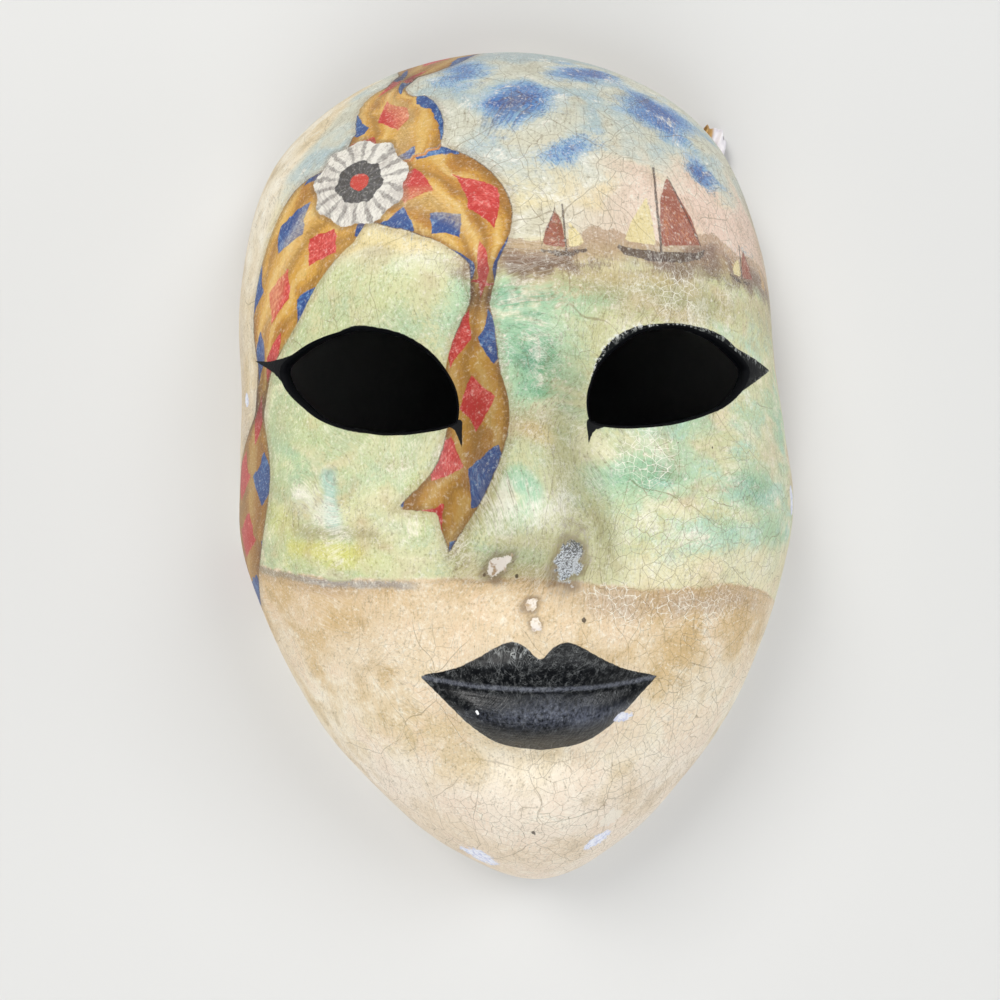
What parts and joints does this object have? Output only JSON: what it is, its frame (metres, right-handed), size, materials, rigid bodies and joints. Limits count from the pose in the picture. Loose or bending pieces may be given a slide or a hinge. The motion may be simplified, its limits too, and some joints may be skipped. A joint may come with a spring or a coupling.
{
  "type": "wall mask",
  "caption": "Life-size hollow papier-mache face mask with cut eye holes, black lips and a satin hanging ribbon; lies face up on its rim.",
  "frame": {"origin": "middle of the mask's footprint, on the plane its rim rests on", "axes": "+Z out of the face, +Y to the crown, +X to the right-hand cheek as a viewer sees it"},
  "size_m": [0.164, 0.2408, 0.0876],
  "materials": {
    "painted_papier_mache": "painted gesso with fine craquelure under a satin varnish; matt black inside",
    "satin_ribbon": "white satin with gold edges"
  },
  "bodies": {
    "root": {"mask_shell": "painted_papier_mache", "hanging_ribbon": "satin_ribbon"}
  },
  "joints": []
}
